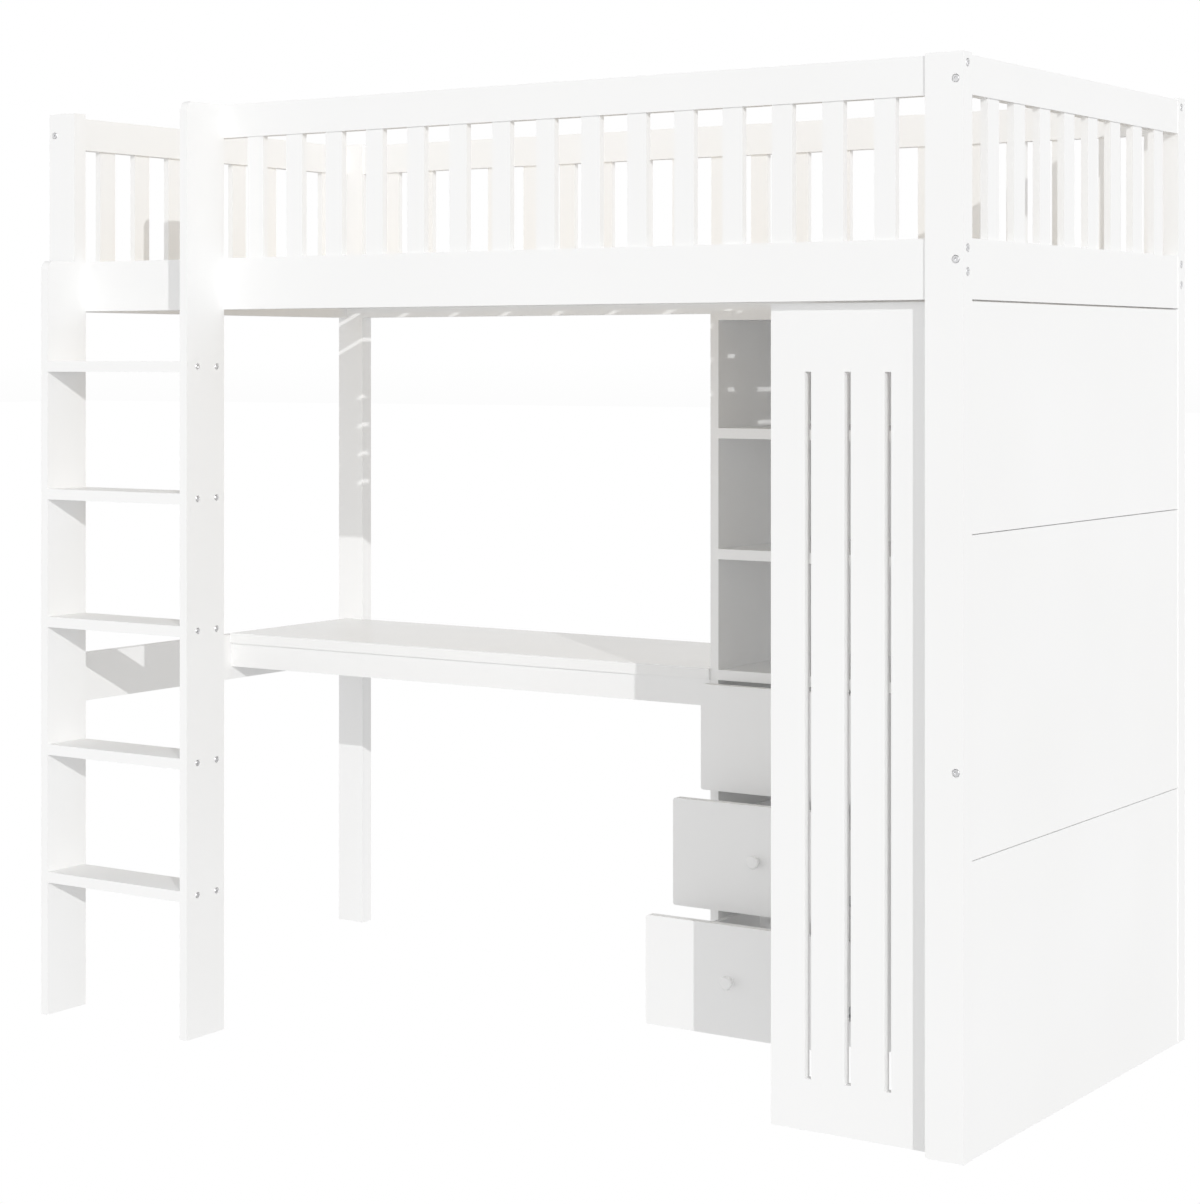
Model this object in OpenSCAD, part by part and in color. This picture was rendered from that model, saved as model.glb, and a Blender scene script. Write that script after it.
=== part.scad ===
// Loft bed with a desk, a ladder, a drawer tower and shelves under the mattress.
// Frame: +X along the bed, +Y towards the back, +Z up, origin on the floor under
// the middle of the whole bed, ladder included.

/* [Bed frame] */
// Outer length over the posts
bed_l = 2064; // [1900:1:2200]
// Outer width over the posts, without the ladder
bed_w = 968; // [900:1:1100]
// Height of the posts
bed_h = 1812; // [1700:1:2000]
// Width of a post, seen from the front
post_w = 70; // [60:1:90]
// Thickness of a post, front to back
post_t = 32; // [30:1:40]
// Height of the underside of the lower rails
rail_z = 1408; // [1408:1:1450]
// Height of the lower rails
rail_h = 100; // [90:1:120]
// Thickness of the long lower rails
side_rail_t = 27; // [25:1:27]
// Height of a guard rail
guard_h = 65; // [50:1:80]
// Thickness of the guard rails and the end rails
guard_t = 22; // [20:1:22]
// Set-back of the long rails from the front of the posts
side_set = 5; // [3:1:5]
// Set-back of the end rails from the outer face of the posts
end_set = 1.5; // [1:0.5:6]

/* [Guard balusters] */
// Width of a baluster
bal_w = 40; // [30:1:45]
// Thickness of a baluster
bal_t = 13; // [9:1:16]
// Set-back of the balusters from the outer face of their rails
bal_set = 3; // [0.5:0.5:6]
// Balusters in the front guard
bal_front_n = 15; // [10:1:18]
// Balusters in the rear guard
bal_rear_n = 19; // [12:1:22]
// Balusters in each end guard
bal_end_n = 8; // [5:1:8]
// Spacing of the end balusters
bal_end_pitch = 103.5; // [70:0.5:105]
// Width of an end baluster
bal_end_w = 44; // [30:1:50]
// How far the left end's balusters are shifted towards the back
bal_left_shift = 29; // [0:1:30]

/* [Bed base] */
// Number of slats under the mattress
slat_n = 14; // [10:1:14]
// Width of a slat
slat_w = 90; // [60:1:100]
// Spacing of the slats
slat_pitch = 144; // [110:1:145]
// Thickness of a slat
slat_t = 16; // [15:1:22]
// Height of the ledgers that carry the slats
ledger_h = 30; // [25:1:40]
// Depth of the ledgers
ledger_t = 22; // [18:1:30]

/* [Ladder] */
// How far the ladder stands in front of the posts
ladder_out = 102; // [80:1:130]
// Outer width of the ladder
ladder_w = 390; // [350:1:450]
// Distance from the bed's left end to the ladder
ladder_left = 79; // [72:1:120]
// Thickness of a ladder stile
stile_t = 18; // [16:1:24]
// Radius of the rounded top corner of a stile
stile_r = 18; // [8:1:30]
// Number of rungs
rung_n = 5; // [4:1:5]
// Height of the underside of the lowest rung
rung_z = 264.5; // [200:0.5:280]
// Spacing of the rungs
rung_pitch = 255.3; // [220:0.1:256]
// Thickness of a rung
rung_t = 21; // [18:1:25]

/* [Under the bed] */
// Height of the tower, the end boards and the slotted panel
unit_h = 1405; // [1350:1:1405]
// Height of the desk surface
desk_z = 706; // [680:1:740]
// Thickness of the desk top
desk_t = 22; // [18:1:28]
// Depth of the desk top
desk_d = 408; // [380:1:420]
// Height of the apron under the desk's front edge
apron_h = 52; // [30:1:60]
// Width of the cross rail at the desk's left end
cross_h = 98; // [80:1:106]
// Height of the lower joint between the end boards
end_joint_low = 488; // [400:1:550]
// Height of the upper joint between the end boards
end_joint_high = 1022; // [900:1:1100]

/* [Tower] */
// Distance from the bed's right end to the tower's left side
tower_in = 804; // [780:1:850]
// Depth of the tower
tower_d = 402; // [390:1:410]
// Width of the drawer part of the tower
drawer_case_w = 374; // [350:1:400]
// Thickness of the tower's upright boards
tower_t = 18; // [16:1:20]
// Thickness of a shelf
shelf_t = 20; // [18:1:22]
// Height of the top of the lowest shelf
shelf_z = 704; // [703:1:710]
// Spacing of the shelves
shelf_pitch = 236; // [220:1:238]

/* [Drawers] */
// Height of a drawer front
front_h = 205; // [190:1:205]
// Thickness of a drawer front
front_t = 18; // [15:1:20]
// Height of the underside of the lowest drawer front
front_z = 60; // [57:1:60]
// Spacing of the drawers
drawer_pitch = 207; // [207:1:209]
// Radius of a knob's head
knob_r = 13; // [10:1:20]
// How far a knob stands out from the drawer front
knob_out = 22; // [15:1:30]
// Depth of a drawer box
box_d = 350; // [300:1:360]
// Height of a drawer box
box_h = 140; // [100:1:150]
// How far the top drawer stands open
open_top = 19; // [0:1:250]
// How far the middle drawer stands open
open_mid = 121; // [0:1:250]
// How far the bottom drawer stands open
open_low = 218; // [0:1:250]

/* [Slotted panel] */
// Width of the slotted panel
panel_w = 355.5; // [330:0.5:365]
// Thickness of the slotted panel
panel_t = 16; // [14:1:20]
// Width of a slot
slot_w = 12; // [8:1:16]
// Spacing of the slots
slot_pitch = 76; // [70:1:80]
// Distance from the panel's free edge to the first slot's middle
slot_in = 72.5; // [60:0.5:90]
// Height of the lower end of the slots
slot_z0 = 88; // [60:1:120]
// Height of the upper end of the slots
slot_z1 = 1289; // [1200:1:1320]

/* [Hidden] */
$fn = 48;

white = [0.95, 0.95, 0.94];
pine = [0.86, 0.74, 0.56];
steel = [0.72, 0.73, 0.75];

// Faces of the post frame
right_x = bed_l / 2;
front_y = (ladder_out - bed_w) / 2;
rear_y = front_y + bed_w;
post_in_x = right_x - post_w;
post_in_front = front_y + post_t;
post_in_rear = rear_y - post_t;
end_in_x = right_x - end_set - guard_t;
end_in_len = post_in_rear - post_in_front;
rail_top = rail_z + rail_h;
guard_drop = 4;
guard_top = bed_h - guard_drop;
guard_z = guard_top - guard_h;

// Ladder
ladder_x0 = -right_x + ladder_left;
ladder_x1 = ladder_x0 + ladder_w;
ladder_front = front_y - ladder_out;
stile_back = front_y + side_set;
stile_d = stile_back - ladder_front;

// Bed base
ledger_lift = 22;
ledger_z = rail_z + ledger_lift;
slat_z = ledger_z + ledger_h;
slat_play = 1;
end_joint_gap = 1.5;

// Desk
cleat_t = 25;
apron_set = 5;
apron_y0 = post_in_rear - desk_d + apron_set;
cross_drop = 4;
cross_top = desk_z - cross_drop;

// Tower and drawers
tower_x0 = right_x - tower_in;
case_x0 = tower_x0 + tower_t;
divider_x0 = tower_x0 + drawer_case_w - tower_t;
tower_y0 = post_in_rear - tower_d;
back_t = 6;
tower_y1 = post_in_rear - back_t;
front_gap = 4;
base_z = front_z - front_gap - tower_t;
plinth_set = 30;
front_play = 1;
box_gap = 13;
box_t = 12;
box_lift = 22;
bottom_lift = 8;
bottom_t = 5;
corner_r = 6;
knob_round = 4;
knob_neck_r = 6;
drawer_open = [open_top, open_mid, open_low];

// Drawer slides: a C-shaped channel on the case and a flanged rail on the box
channel_h = 20;
channel_w = 11;
channel_t = 1.5;
channel_l = 340;
slide_leg_t = 1.4;
slide_flange_t = 2;
slide_flange_z = 2;
slide_flange_x = 4;
slide_set = 2;
slide_bond = 0.1;

// Bolts, measured from the outer face that the head lies in
bolt_head_r = 6.5;
bolt_head_t = 3;
bolt_r = 3;
hole_play = 0.3;
head_play = 0.7;
head_bevel = 1;
socket_t = 2;
nut_r = 5;
nut_len = 15;
post_bolt_in = 14.5;
rail_bolt_in = 16;
side_bolt_len = post_w + 42;
end_bolt_len = post_t + 42;
nut_back = 12;
side_bolt_z = [guard_top - 14, rail_top - 16, rail_top - 55];
end_bolt_z = [guard_top - 40, rail_top - 35, desk_z - 70];
rung_bolt_r = 2.5;
rung_bolt_head_r = 5.5;
rung_bolt_len = 46;
rung_bolt_y = [front_y - 70.5, front_y - 16];
mount_bolt_len = 58;
mount_bolt_z = [rail_z + 25, rail_top - 25];

// ---------- shared shapes ----------

// A board between two corners
module board(a, b) {
    translate(a) cube(b - a);
}

// A bolt along -Z with its bevelled head's outer face at the origin and a hexagonal socket
module bolt(head_r, shank_r, len) {
    difference() {
        union() {
            translate([0, 0, -bolt_head_t]) cylinder(r = head_r, h = bolt_head_t - head_bevel);
            translate([0, 0, -head_bevel]) cylinder(r1 = head_r, r2 = head_r - head_bevel, h = head_bevel);
            translate([0, 0, -len]) cylinder(r = shank_r, h = len - bolt_head_t + 0.5);
        }
        translate([0, 0, -socket_t]) cylinder(r = shank_r, h = socket_t + 1, $fn = 6);
    }
}

// The counterbored hole that such a bolt lies in
module bolt_hole(head_r, shank_r, len) {
    translate([0, 0, -bolt_head_t]) cylinder(r = head_r + head_play, h = bolt_head_t + 1);
    translate([0, 0, -len - 2]) cylinder(r = shank_r + hole_play, h = len + 2);
}

// Places children on an outer end face of the posts, pointing out along X
module on_end_face(side, y, z) {
    translate([side * right_x, y, z]) rotate([0, side * 90, 0]) children();
}

// Places children on a front or back face of the posts, pointing out along Y
module on_long_face(side, x, z) {
    translate([x, side > 0 ? rear_y : front_y, z]) rotate([-side * 90, 0, 0]) children();
}

// Bolts into the long rails: end of the bed, long side, height. The way in from
// the ladder has no guard rail, so its post has no bolt there.
side_bolts = [for (end = [-1, 1], face = [-1, 1], z = side_bolt_z)
    if (end > 0 || face > 0 || z < guard_z) [end, face, z]];

function rail_y(side) = side > 0 ? rear_y - rail_bolt_in : front_y + rail_bolt_in;
function end_x(side) = side * (right_x - post_bolt_in);

// A barrel nut, or its hole when grown, across a bolt that runs along -Z
module barrel(len, grow, up) {
    translate([0, 0, -len + nut_back]) rotate([up ? -90 : 90, 0, 0])
        translate([0, 0, -nut_len / 2 - grow]) cylinder(r = nut_r + grow, h = nut_len + 2 * grow);
}

// Bolt holes for the long rails, at both ends
module side_rail_holes(side, heights) {
    for (end = [-1, 1], z = heights) {
        on_end_face(end, rail_y(side), z) {
            bolt_hole(bolt_head_r, bolt_r, side_bolt_len);
            barrel(side_bolt_len, 0.2, true);
        }
    }
}

// Bolt holes for the rails and boards across an end, at both ends
module end_rail_holes(side, heights) {
    for (face = [-1, 1], z = heights) {
        on_long_face(face, end_x(side), z) {
            bolt_hole(bolt_head_r, bolt_r, end_bolt_len);
            rotate([0, 0, 90]) barrel(end_bolt_len, 0.2, true);
        }
    }
}

// ---------- posts, rails and guards ----------

// One corner post: side is -1 left or 1 right, face is -1 front or 1 rear
module post(side, face) {
    y0 = face > 0 ? post_in_rear : front_y;
    x0 = side > 0 ? post_in_x : -right_x;
    color(white) difference() {
        board([x0, y0, 0], [x0 + post_w, y0 + post_t, bed_h]);
        for (b = side_bolts) if (b[0] == side && b[1] == face)
            on_end_face(side, rail_y(face), b[2]) bolt_hole(bolt_head_r, bolt_r, post_w + 2);
        for (z = end_bolt_z) on_long_face(face, end_x(side), z)
            bolt_hole(bolt_head_r, bolt_r, post_t + 2);
    }
}

// A long rail between the posts, with its outer face set back from theirs
module long_rail(side, x0, thick, z0, z1, heights) {
    outer = side > 0 ? rear_y - side_set : front_y + side_set;
    y0 = side > 0 ? outer - thick : outer;
    color(white) difference() {
        board([x0, y0, z0], [post_in_x, y0 + thick, z1]);
        side_rail_holes(side, heights);
        children();
    }
}

module side_rail_front() {
    long_rail(-1, -post_in_x, side_rail_t, rail_z, rail_top, [side_bolt_z[1], side_bolt_z[2]])
        ladder_mounts() bolt_hole(rung_bolt_head_r, rung_bolt_r, mount_bolt_len);
}

module side_rail_rear() {
    long_rail(1, -post_in_x, side_rail_t, rail_z, rail_top, [side_bolt_z[1], side_bolt_z[2]]);
}

module guard_rail_front() {
    long_rail(-1, ladder_x1 - stile_t, guard_t, guard_z, guard_top, [side_bolt_z[0]])
        ladder_mounts() bolt_hole(rung_bolt_head_r, rung_bolt_r, mount_bolt_len);
}

module guard_rail_rear() {
    long_rail(1, -post_in_x, guard_t, guard_z, guard_top, [side_bolt_z[0]]);
}

// A board across one end of the bed, between its two posts
module end_board(side, z0, z1, heights) {
    x0 = side > 0 ? end_in_x : -end_in_x - guard_t;
    color(white) difference() {
        board([x0, post_in_front, z0], [x0 + guard_t, post_in_rear, z1]);
        end_rail_holes(side, heights);
    }
}

module end_rail(side) { end_board(side, rail_z, rail_top, [end_bolt_z[1]]); }
module end_guard_rail(side) { end_board(side, guard_z, guard_top, [end_bolt_z[0]]); }

// Balusters spread evenly between two places along a long side
module long_balusters(side, n, x0, x1) {
    gap = (x1 - x0 - n * bal_w) / (n + 1);
    y0 = side > 0 ? rear_y - side_set - bal_set - bal_t : front_y + side_set + bal_set;
    color(white) for (i = [0 : n - 1]) {
        x = x0 + gap + i * (gap + bal_w);
        board([x, y0, rail_top], [x + bal_w, y0 + bal_t, guard_z]);
    }
}

module balusters_front() { long_balusters(-1, bal_front_n, ladder_x1, post_in_x); }
module balusters_rear() { long_balusters(1, bal_rear_n, -post_in_x, post_in_x); }

// Balusters of one end guard, about the middle of the end or behind it
module balusters_end(side) {
    outer = right_x - end_set - bal_set;
    x0 = side > 0 ? outer - bal_t : -outer;
    mid = (post_in_front + post_in_rear) / 2 + (side < 0 ? bal_left_shift : 0);
    color(white) for (i = [0 : bal_end_n - 1]) {
        y = mid + (i - (bal_end_n - 1) / 2) * bal_end_pitch - bal_end_w / 2;
        board([x0, y, rail_top], [x0 + bal_t, y + bal_end_w, guard_z]);
    }
}

// ---------- bed base ----------

module slat_ledgers() {
    color(white) for (y0 = [post_in_front, post_in_rear - ledger_t])
        board([-end_in_x, y0, ledger_z], [end_in_x, y0 + ledger_t, slat_z]);
}

module bed_slats() {
    x0 = -((slat_n - 1) * slat_pitch + slat_w) / 2;
    color(pine) for (i = [0 : slat_n - 1]) {
        x = x0 + i * slat_pitch;
        board([x, post_in_front + slat_play, slat_z],
              [x + slat_w, post_in_rear - slat_play, slat_z + slat_t]);
    }
}

// ---------- ladder ----------

function rung_bottom(i) = rung_z + i * rung_pitch;

// Places children on the outer faces of both stiles, at each rung's two bolts
module rung_bolts() {
    for (i = [0 : rung_n - 1], y = rung_bolt_y) {
        translate([ladder_x0, y, rung_bottom(i) + rung_t / 2]) rotate([0, -90, 0]) children();
        translate([ladder_x1, y, rung_bottom(i) + rung_t / 2]) rotate([0, 90, 0]) children();
    }
}

// Places children where the ladder is bolted on, from the inside of the front rails
module ladder_mounts() {
    for (x = [ladder_x0 + stile_t / 2, ladder_x1 - stile_t / 2], z = mount_bolt_z)
        translate([x, post_in_front, z]) rotate([-90, 0, 0]) children();
    translate([ladder_x1 - stile_t / 2, front_y + side_set + guard_t, guard_z + guard_h / 2])
        rotate([-90, 0, 0]) children();
}

// A ladder stile with a rounded top corner at the front
module ladder_stile(x0, top) {
    color(white) difference() {
        translate([x0, 0, 0]) rotate([90, 0, 90]) linear_extrude(stile_t) union() {
            translate([ladder_front, 0]) square([stile_d, top - stile_r]);
            translate([ladder_front + stile_r, 0]) square([stile_d - stile_r, top]);
            translate([ladder_front + stile_r, top - stile_r]) circle(stile_r);
        }
        rung_bolts() bolt_hole(rung_bolt_head_r, rung_bolt_r, rung_bolt_len);
        ladder_mounts() bolt_hole(rung_bolt_head_r, rung_bolt_r, mount_bolt_len);
    }
}

module rung(i) {
    color(white) difference() {
        board([ladder_x0 + stile_t, ladder_front, rung_bottom(i)],
              [ladder_x1 - stile_t, front_y, rung_bottom(i) + rung_t]);
        rung_bolts() bolt_hole(rung_bolt_head_r, rung_bolt_r, rung_bolt_len);
    }
}

// ---------- desk ----------

module desk_cross_rail() { end_board(-1, cross_top - cross_h, cross_top, [end_bolt_z[2]]); }

// The batten on the cross rail that the desk top's left end lies on
module desk_cleat() {
    color(white) board([-end_in_x, apron_y0 + guard_t, desk_z - desk_t - cleat_t],
                       [-end_in_x + cleat_t, post_in_rear, desk_z - desk_t]);
}

module desk_top() {
    color(white) board([-end_in_x, post_in_rear - desk_d, desk_z - desk_t],
                       [tower_x0, post_in_rear, desk_z]);
}

module desk_apron() {
    color(white) board([-end_in_x, apron_y0, desk_z - desk_t - apron_h],
                       [tower_x0, apron_y0 + guard_t, desk_z - desk_t]);
}

// ---------- tower, shelves and end boards ----------

module tower_side() {
    color(white) board([tower_x0, tower_y0, 0], [case_x0, tower_y1, unit_h]);
}

module tower_divider() {
    color(white) board([divider_x0, tower_y0, 0],
                       [divider_x0 + tower_t, tower_y1, shelf_z - shelf_t]);
}

module tower_top() {
    color(white) board([case_x0, tower_y0, unit_h - tower_t], [end_in_x, tower_y1, unit_h]);
}

module tower_back() {
    color(white) board([tower_x0, tower_y1, 0], [end_in_x, post_in_rear, unit_h]);
}

// The base board under the drawers and the plinth that it stands on
module tower_base() {
    color(white) {
        board([case_x0, tower_y0, base_z], [divider_x0, tower_y1, base_z + tower_t]);
        board([case_x0, tower_y0 + plinth_set, 0],
              [divider_x0, tower_y0 + plinth_set + tower_t, base_z]);
    }
}

module shelf(i) {
    top = shelf_z + i * shelf_pitch;
    color(white) board([case_x0, tower_y0, top - shelf_t], [end_in_x, tower_y1, top]);
}

module end_board_lower() { end_board(1, 0, end_joint_low, []); }
module end_board_middle() {
    end_board(1, end_joint_low + end_joint_gap, end_joint_high, [end_bolt_z[2]]);
}
module end_board_upper() { end_board(1, end_joint_high + end_joint_gap, unit_h, []); }

// A fixed panel behind the front right post, with three long upright slots
module slotted_panel() {
    x0 = end_in_x - panel_w;
    first = x0 + slot_in;
    color(white) difference() {
        board([x0, post_in_front, 0], [end_in_x, post_in_front + panel_t, unit_h]);
        for (i = [0 : 2])
            board([first + i * slot_pitch - slot_w / 2, post_in_front - 1, slot_z0],
                  [first + i * slot_pitch + slot_w / 2, post_in_front + panel_t + 1, slot_z1]);
    }
}

// ---------- drawers ----------

// Drawer i counts from the top: 0, 1, 2
function drawer_z(i) = front_z + (2 - i) * drawer_pitch;
function drawer_y(i) = tower_y0 - front_play - drawer_open[i];
function slide_z(i) = drawer_z(i) + box_lift;

// A square-edged plate in the XZ plane with rounded corners
module rounded_plate(w, h, t, r) {
    rotate([90, 0, 0]) linear_extrude(t) union() {
        translate([r, 0]) square([w - 2 * r, h]);
        translate([0, r]) square([w, h - 2 * r]);
        for (x = [r, w - r], z = [r, h - r]) translate([x, z]) circle(r);
    }
}

module drawer_front(i) {
    w = drawer_case_w - 2 * front_play;
    color(white) translate([tower_x0 + front_play, drawer_y(i), drawer_z(i)])
        rounded_plate(w, front_h, front_t, corner_r);
}

// The two sides and the back of a drawer box, as separate boards
module drawer_box(i) {
    x0 = case_x0 + box_gap;
    x1 = divider_x0 - box_gap;
    y0 = drawer_y(i);
    z0 = slide_z(i);
    color(white) {
        for (x = [x0, x1 - box_t]) board([x, y0, z0], [x + box_t, y0 + box_d, z0 + box_h]);
        board([x0 + box_t, y0 + box_d - box_t, z0 + bottom_lift + bottom_t],
              [x1 - box_t, y0 + box_d, z0 + box_h]);
    }
}

module drawer_bottom(i) {
    x0 = case_x0 + box_gap + box_t;
    x1 = divider_x0 - box_gap - box_t;
    z0 = slide_z(i) + bottom_lift;
    color(white) board([x0, drawer_y(i), z0], [x1, drawer_y(i) + box_d, z0 + bottom_t]);
}

// The channel's section, open towards the drawer
module channel_section() {
    difference() {
        square([channel_w, channel_h]);
        translate([channel_t, channel_t]) square([channel_w, channel_h - 2 * channel_t]);
    }
}

// The rail's section: a leg on the drawer side and a flange inside the channel
module slide_section() {
    leg_x = box_gap - slide_leg_t;
    translate([leg_x, 0]) square([slide_leg_t, channel_h]);
    translate([slide_flange_x, slide_flange_z])
        square([leg_x - slide_flange_x + slide_bond, slide_flange_t]);
}

// Extrudes a section on both walls of the case, from y0 backwards
module slide_pair(y0, z0, len) {
    translate([case_x0, y0 + len, z0]) rotate([90, 0, 0]) linear_extrude(len) children();
    translate([divider_x0, y0 + len, z0]) mirror([1, 0, 0])
        rotate([90, 0, 0]) linear_extrude(len) children();
}

module drawer_channels() {
    color(steel) for (i = [0 : 2]) slide_pair(tower_y0 + slide_set, slide_z(i), channel_l) channel_section();
}

module drawer_slides(i) {
    color(steel) slide_pair(drawer_y(i) + slide_set, slide_z(i), channel_l) slide_section();
}

// A turned knob on a short neck, in the middle of the drawer front
module drawer_knob(i) {
    color(white) translate([tower_x0 + drawer_case_w / 2, drawer_y(i) - front_t,
                            drawer_z(i) + front_h / 2])
        rotate([90, 0, 0]) rotate_extrude() union() {
            square([knob_neck_r, knob_out - knob_round]);
            translate([0, knob_out - 2 * knob_round]) square([knob_r - knob_round, 2 * knob_round]);
            translate([knob_r - knob_round, knob_out - knob_round]) circle(knob_round);
        }
}

// ---------- fasteners ----------

module frame_bolts() {
    color(steel) {
        for (b = side_bolts) on_end_face(b[0], rail_y(b[1]), b[2])
            bolt(bolt_head_r, bolt_r, side_bolt_len);
        for (side = [-1, 1], face = [-1, 1], z = end_bolt_z)
            on_long_face(face, end_x(side), z) bolt(bolt_head_r, bolt_r, end_bolt_len);
    }
}

module barrel_nuts() {
    color(steel) {
        for (b = side_bolts) on_end_face(b[0], rail_y(b[1]), b[2])
            difference() {
                barrel(side_bolt_len, 0, true);
                translate([0, 0, -side_bolt_len - 2]) cylinder(r = bolt_r + 0.02, h = 30);
            }
        for (side = [-1, 1], face = [-1, 1], z = end_bolt_z)
            on_long_face(face, end_x(side), z) difference() {
                rotate([0, 0, 90]) barrel(end_bolt_len, 0, true);
                translate([0, 0, -end_bolt_len - 2]) cylinder(r = bolt_r + 0.02, h = 30);
            }
    }
}

module ladder_bolts() {
    color(steel) {
        rung_bolts() bolt(rung_bolt_head_r, rung_bolt_r, rung_bolt_len);
        ladder_mounts() bolt(rung_bolt_head_r, rung_bolt_r, mount_bolt_len);
    }
}

// ---------- assembly ----------

post(-1, -1);  // post_front_left
post(1, -1);  // post_front_right
post(-1, 1);  // post_rear_left
post(1, 1);  // post_rear_right
side_rail_front();
side_rail_rear();
guard_rail_front();
guard_rail_rear();
end_rail(-1);  // end_rail_left
end_rail(1);  // end_rail_right
end_guard_rail(-1);  // end_guard_rail_left
end_guard_rail(1);  // end_guard_rail_right
balusters_front();
balusters_rear();
balusters_end(-1);  // balusters_left
balusters_end(1);  // balusters_right
slat_ledgers();
bed_slats();
ladder_stile(ladder_x0, rail_top);  // ladder_stile_left
ladder_stile(ladder_x1 - stile_t, guard_top);  // ladder_stile_right
rung(0);  // rung_1
rung(1);  // rung_2
rung(2);  // rung_3
rung(3);  // rung_4
rung(4);  // rung_5
desk_cross_rail();
desk_cleat();
desk_top();
desk_apron();
tower_side();
tower_divider();
tower_top();
tower_back();
tower_base();
shelf(0);  // shelf_lower
shelf(1);  // shelf_middle
shelf(2);  // shelf_upper
end_board_lower();
end_board_middle();
end_board_upper();
slotted_panel();
drawer_channels();
drawer_front(0);  // drawer_1_front
drawer_box(0);  // drawer_1_box
drawer_bottom(0);  // drawer_1_bottom
drawer_slides(0);  // drawer_1_slides
drawer_knob(0);  // drawer_1_knob
drawer_front(1);  // drawer_2_front
drawer_box(1);  // drawer_2_box
drawer_bottom(1);  // drawer_2_bottom
drawer_slides(1);  // drawer_2_slides
drawer_knob(1);  // drawer_2_knob
drawer_front(2);  // drawer_3_front
drawer_box(2);  // drawer_3_box
drawer_bottom(2);  // drawer_3_bottom
drawer_slides(2);  // drawer_3_slides
drawer_knob(2);  // drawer_3_knob
frame_bolts();
ladder_bolts();
barrel_nuts();
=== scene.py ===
"""Looks for a white loft bed with a desk, ladder, drawers and shelves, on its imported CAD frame."""

import math

import bpy
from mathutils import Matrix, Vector


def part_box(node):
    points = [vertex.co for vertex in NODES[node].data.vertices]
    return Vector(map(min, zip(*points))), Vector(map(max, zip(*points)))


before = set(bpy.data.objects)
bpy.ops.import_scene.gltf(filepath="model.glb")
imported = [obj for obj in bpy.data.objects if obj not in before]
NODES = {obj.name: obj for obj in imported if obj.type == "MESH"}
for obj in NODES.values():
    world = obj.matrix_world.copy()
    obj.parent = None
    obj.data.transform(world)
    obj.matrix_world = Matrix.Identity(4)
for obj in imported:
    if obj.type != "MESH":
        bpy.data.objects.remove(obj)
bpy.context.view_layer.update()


# ---------- material helpers ----------

def new_material(name):
    """A node material with one Principled shader; returns (material, its nodes, its links, shader)."""
    material = bpy.data.materials.new(name)
    material.use_nodes = True
    tree = material.node_tree
    return material, tree.nodes, tree.links, tree.nodes["Principled BSDF"]


def object_coords(nodes, links, scale):
    """Coordinates in metres in the bed's own frame, times scale along X, Y and Z."""
    place = nodes.new("ShaderNodeTexCoord")
    mapping = nodes.new("ShaderNodeMapping")
    mapping.inputs["Scale"].default_value = scale
    links.new(place.outputs["Object"], mapping.inputs["Vector"])
    return mapping.outputs["Vector"]


def noise(nodes, links, vector, scale, detail=3.0, roughness=0.5, distortion=0.0):
    """Noise from 0 to 1 at that scale."""
    node = nodes.new("ShaderNodeTexNoise")
    node.inputs["Scale"].default_value = scale
    node.inputs["Detail"].default_value = detail
    node.inputs["Roughness"].default_value = roughness
    node.inputs["Distortion"].default_value = distortion
    links.new(vector, node.inputs["Vector"])
    return node.outputs["Fac"]


def ramp(nodes, links, value, stops):
    """A colour ramp over value; stops are (position, (r, g, b))."""
    node = nodes.new("ShaderNodeValToRGB")
    elements = node.color_ramp.elements
    while len(elements) < len(stops):
        elements.new(0.5)
    for element, (position, colour) in zip(elements, stops):
        element.position = position
        element.color = (*colour, 1.0)
    links.new(value, node.inputs["Fac"])
    return node.outputs["Color"]


def spread(nodes, links, value, low, high):
    """Value from 0..1 to low..high."""
    node = nodes.new("ShaderNodeMapRange")
    node.inputs["To Min"].default_value = low
    node.inputs["To Max"].default_value = high
    links.new(value, node.inputs["Value"])
    return node.outputs["Result"]


def add(nodes, links, first, second, weight, constant=0.0):
    """first + second * weight, or constant + second * weight where first is None."""
    node = nodes.new("ShaderNodeMath")
    node.operation = "MULTIPLY_ADD"
    links.new(second, node.inputs[0])
    node.inputs[1].default_value = weight
    node.inputs[2].default_value = constant
    if first is not None:
        links.new(first, node.inputs[2])
    return node.outputs["Value"]


def bump(nodes, links, shader, height, strength, distance):
    """Bumps the shader's normal by height, distance metres deep at full strength."""
    node = nodes.new("ShaderNodeBump")
    node.inputs["Strength"].default_value = strength
    node.inputs["Distance"].default_value = distance
    links.new(height, node.inputs["Height"])
    links.new(node.outputs["Normal"], shader.inputs["Normal"])


def along(axis, fine, coarse):
    """A scale that is coarse along one axis and fine across it."""
    return [coarse if i == axis else fine for i in range(3)]


# ---------- materials ----------

WHITE = (0.900, 0.900, 0.897)
WHITE_DIM = (0.884, 0.883, 0.878)


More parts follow.
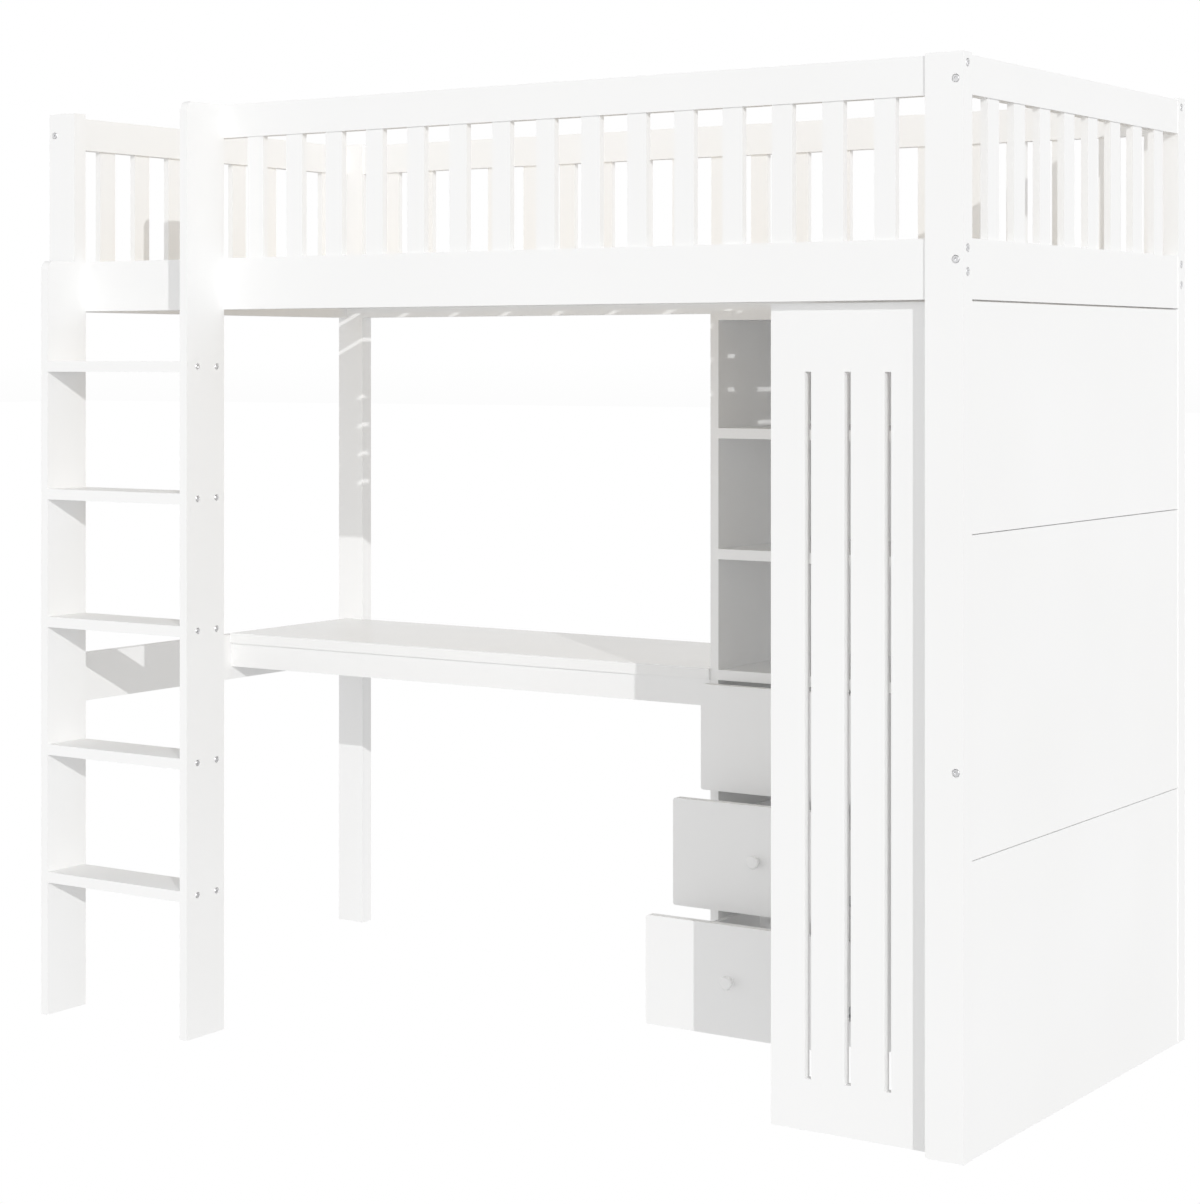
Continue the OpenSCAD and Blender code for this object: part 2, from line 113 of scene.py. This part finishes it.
def paint(name, axis, gloss=0.46):
    """Satin white paint over wood whose grain runs along axis and just shows through it."""
    material, nodes, links, shader = new_material(name)
    grain_space = object_coords(nodes, links, along(axis, 1.0, 0.03))
    flat_space = object_coords(nodes, links, (1.0, 1.0, 1.0))
    cloud = noise(nodes, links, flat_space, 2.3, 2.0)
    links.new(ramp(nodes, links, cloud, [(0.3, WHITE_DIM), (0.7, WHITE)]), shader.inputs["Base Color"])
    grain = noise(nodes, links, grain_space, 260.0, 4.0, 0.6)
    roller = noise(nodes, links, flat_space, 900.0, 2.0)
    bump(nodes, links, shader, add(nodes, links, roller, grain, 0.6), 0.12, 0.0004)
    links.new(spread(nodes, links, cloud, gloss - 0.04, gloss + 0.06), shader.inputs["Roughness"])
    shader.inputs["Specular IOR Level"].default_value = 0.3
    shader.inputs["Coat Weight"].default_value = 0.03
    shader.inputs["Coat Roughness"].default_value = 0.25
    return material


def bare_pine(name):
    """Planed pine with long growth rings, fine pores and a few darker streaks, along Y."""
    material, nodes, links, shader = new_material(name)
    ring_space = object_coords(nodes, links, (1.0, 0.06, 1.0))
    pore_space = object_coords(nodes, links, (1.0, 0.02, 1.0))
    rings = noise(nodes, links, ring_space, 42.0, 3.0, 0.55, 1.2)
    pores = noise(nodes, links, pore_space, 800.0, 3.0, 0.6)
    mixed = add(nodes, links, rings, pores, 0.25)
    colours = [(0.40, (0.72, 0.57, 0.40)), (0.55, (0.84, 0.72, 0.55)), (0.78, (0.89, 0.79, 0.64))]
    links.new(ramp(nodes, links, mixed, colours), shader.inputs["Base Color"])
    links.new(spread(nodes, links, pores, 0.48, 0.66), shader.inputs["Roughness"])
    bump(nodes, links, shader, mixed, 0.25, 0.0006)
    return material


def plated_steel(name, colour, rough):
    """Plated steel with fine brushing and slightly uneven gloss."""
    material, nodes, links, shader = new_material(name)
    fine = object_coords(nodes, links, (1.0, 1.0, 1.0))
    brush = noise(nodes, links, object_coords(nodes, links, (1.0, 1.0, 0.05)), 2600.0, 2.0)
    patch = noise(nodes, links, fine, 90.0, 2.0)
    dim = tuple(0.86 * c for c in colour)
    links.new(ramp(nodes, links, patch, [(0.35, dim), (0.65, colour)]), shader.inputs["Base Color"])
    links.new(spread(nodes, links, brush, rough - 0.06, rough + 0.1), shader.inputs["Roughness"])
    bump(nodes, links, shader, brush, 0.1, 0.0002)
    shader.inputs["Metallic"].default_value = 1.0
    return material


PAINT = [paint("white_paint_%s" % "xyz"[axis], axis) for axis in range(3)]
DESK_PAINT = paint("white_paint_desk", 0, 0.24)
KNOB_PAINT = paint("knob_paint", 1, 0.26)
PINE = bare_pine("bare_pine")
BOLT_STEEL = plated_steel("bolt_steel", (0.84, 0.84, 0.85), 0.34)
SLIDE_STEEL = plated_steel("slide_steel", (0.56, 0.57, 0.58), 0.42)


def grain_axis(node):
    """The axis a board's grain runs along: its longest side."""
    low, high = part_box(node)
    size = high - low
    return max(range(3), key=lambda i: size[i])


def material_for(node):
    """The material that a node is made of, from its name."""
    if node.endswith("_knob"):
        return KNOB_PAINT
    if node in ("frame_bolts", "ladder_bolts", "barrel_nuts"):
        return BOLT_STEEL
    if node.endswith("_slides") or node == "drawer_channels":
        return SLIDE_STEEL
    if node == "bed_slats":
        return PINE
    if node == "desk_top":
        return DESK_PAINT
    if node.startswith("balusters"):
        return PAINT[2]
    return PAINT[grain_axis(node)]


ROUND_EDGE = {"post": 0.0025, "side_rail": 0.002, "guard_rail": 0.002, "end_rail": 0.002,
              "end_guard": 0.002, "balusters": 0.0015, "rung": 0.002, "ladder_stile": 0.002,
              "desk": 0.0012, "bed_slats": 0.002}
THIN_EDGE = 0.0008
SHARPEST_ANGLE = math.radians(50)


def edge_radius(node):
    """How far a board's edges are rounded over, in metres."""
    for start, radius in ROUND_EDGE.items():
        if node.startswith(start):
            return radius
    return THIN_EDGE


for name, node in NODES.items():
    material = material_for(name)
    node.data.materials.clear()
    node.data.materials.append(material)
    if material not in (BOLT_STEEL, SLIDE_STEEL):
        edges = node.modifiers.new("round_edges", "BEVEL")
        edges.width = edge_radius(name)
        edges.segments = 2
        edges.limit_method = "ANGLE"
        edges.angle_limit = SHARPEST_ANGLE
        edges.harden_normals = True


# ---------- camera, light and floor ----------

camera = bpy.data.objects.new("camera", bpy.data.cameras.new("camera"))
bpy.context.scene.collection.objects.link(camera)
camera.location = (2.9451, -4.3851, 1.3074)
camera.rotation_euler = (math.radians(90), 0.0, math.radians(33.575))
camera.data.sensor_width = 36.0
camera.data.lens = 80.06
camera.data.shift_x = 0.0004
camera.data.shift_y = -0.2003
camera.data.clip_end = 100.0
bpy.context.scene.camera = camera


def sun_lamp(name, way, energy, shadow):
    """Parallel light that travels along way."""
    data = bpy.data.lights.new(name, "SUN")
    data.energy = energy
    data.angle = SUN_ANGLE
    data.use_shadow = shadow
    data.cycles.cast_shadow = shadow
    lamp = bpy.data.objects.new(name, data)
    bpy.context.scene.collection.objects.link(lamp)
    lamp.rotation_euler = Vector(way).to_track_quat("-Z", "Y").to_euler()


# A low sun from the front right makes the shadows. A weaker lamp without shadows lifts the
# insides of the shelves, as a studio's reflectors do.
SUN_ANGLE = math.radians(0.3)
sun_lamp("sun", (-1.2, 1.0, -0.55), 1.2, True)
sun_lamp("fill", (-0.5, 0.8, -0.35), 0.5, False)

# A studio that is white all round at the level of the bed, where the camera looks past it, and
# dim above and below. Heights run from -1, straight down, through 0, level, to 1, overhead.
WALL_TOP = 0.2
WALL_LEVEL = 1.0
DIM_LEVEL = 0.5
FADE = 0.4


def grey(level):
    """A neutral colour of that level."""
    return (level, level, level)


world = bpy.data.worlds.new("studio")
bpy.context.scene.world = world
world.use_nodes = True
sky_nodes = world.node_tree.nodes
sky_links = world.node_tree.links
direction = sky_nodes.new("ShaderNodeTexCoord")
split = sky_nodes.new("ShaderNodeSeparateXYZ")
sky_links.new(direction.outputs["Generated"], split.inputs["Vector"])
height = add(sky_nodes, sky_links, None, split.outputs["Z"], 0.5, 0.5)
SKY = [((1 - FADE) / 2, grey(DIM_LEVEL)), (0.5, grey(WALL_LEVEL)),
       ((1 + WALL_TOP) / 2, grey(WALL_LEVEL)), ((1 + WALL_TOP + FADE) / 2, grey(DIM_LEVEL))]
sky_links.new(ramp(sky_nodes, sky_links, height, SKY), sky_nodes["Background"].inputs["Color"])

# A white floor that only the camera sees, and that reaches REACH metres each way
REACH = 60.0
floor_mesh = bpy.data.meshes.new("floor")
floor_mesh.from_pydata([(-REACH, -REACH, 0), (REACH, -REACH, 0), (REACH, REACH, 0), (-REACH, REACH, 0)],
                       [], [(0, 1, 2, 3)])
floor = bpy.data.objects.new("floor", floor_mesh)
bpy.context.scene.collection.objects.link(floor)
floor_material = bpy.data.materials.new("pale_floor")
floor_material.use_nodes = True
floor_nodes = floor_material.node_tree.nodes
glow = floor_nodes.new("ShaderNodeEmission")
glow.inputs["Color"].default_value = (1.0, 1.0, 1.0, 1.0)
floor_material.node_tree.links.new(glow.outputs["Emission"], floor_nodes["Material Output"].inputs["Surface"])
floor_mesh.materials.append(floor_material)
floor.visible_diffuse = False
floor.visible_glossy = False
floor.visible_shadow = False

bpy.context.scene.view_settings.view_transform = "Standard"
bpy.context.scene.view_settings.look = "None"
